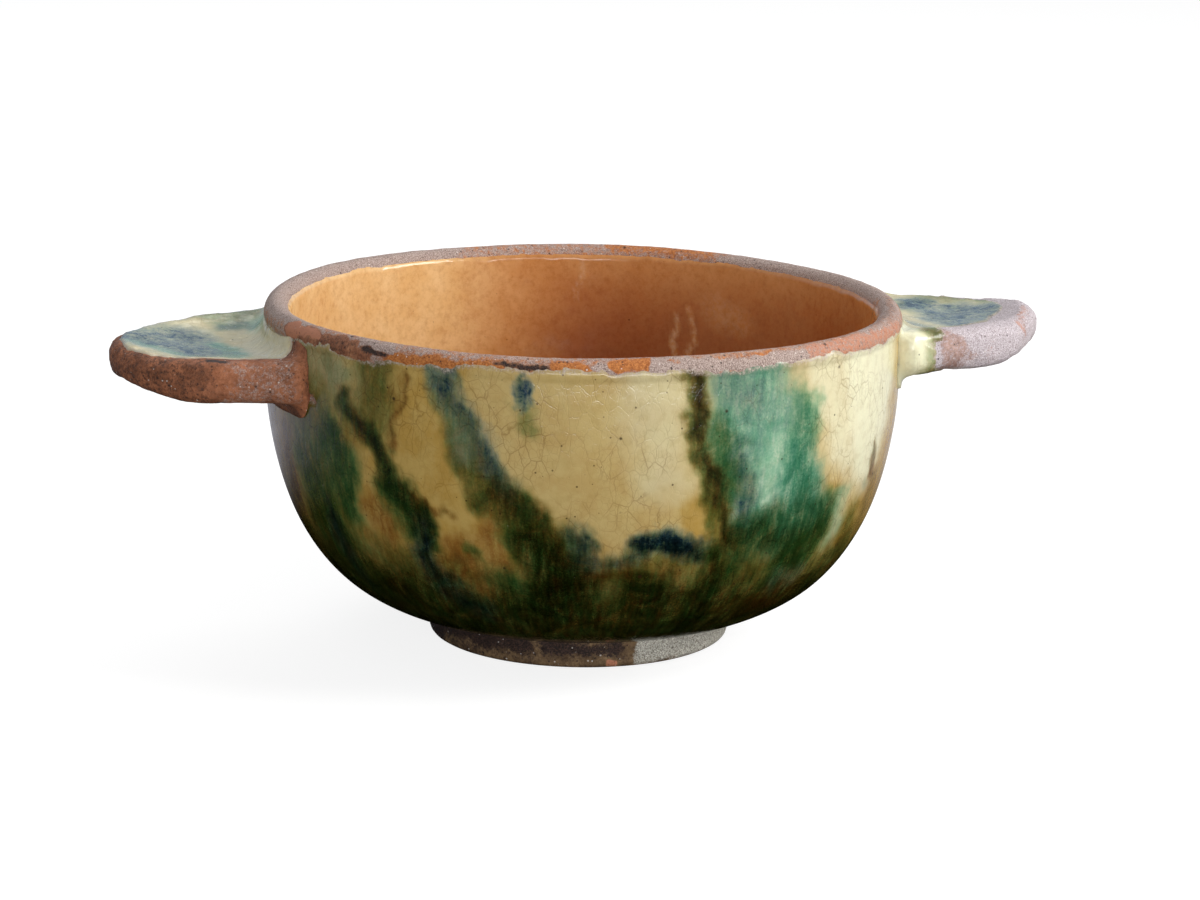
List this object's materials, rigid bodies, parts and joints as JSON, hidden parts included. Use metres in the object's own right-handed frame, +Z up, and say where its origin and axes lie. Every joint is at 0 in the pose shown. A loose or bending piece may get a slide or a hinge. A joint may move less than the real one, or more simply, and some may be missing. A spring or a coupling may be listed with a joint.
{
  "type": "two-lugged earthenware bowl",
  "caption": "Small glazed earthenware bowl with a turned foot, a bare rounded rim and flat dished lugs, marbled outside and orange inside.",
  "frame": {"origin": "middle of the foot's resting face, on the surface the bowl stands on", "axes": "+Z up through the bowl's mouth, X through the two lugs with +X towards the higher, dished lug"},
  "size_m": [0.191, 0.13, 0.0697],
  "materials": {
    "bare_clay": "unglazed, worn smooth, rough where chipped",
    "foot_clay": "unglazed, gritty, stained dark",
    "lug_clay": "unglazed and handled, with dark grain and pits",
    "marbled_glaze": "glossy lead glaze over marbled ochre, green, blue and brown slips, crazed",
    "orange_glaze": "glossy clear glaze over red clay",
    "lug_glaze": "satin, worn, grey-blue to ochre glaze"
  },
  "bodies": {
    "root": {"clay_body": "bare_clay", "foot_ring": "foot_clay", "left_lug": "lug_clay", "right_lug": "lug_clay", "outer_glaze": "marbled_glaze", "inner_glaze": "orange_glaze", "left_lug_glaze": "lug_glaze", "right_lug_glaze": "lug_glaze"}
  },
  "joints": []
}
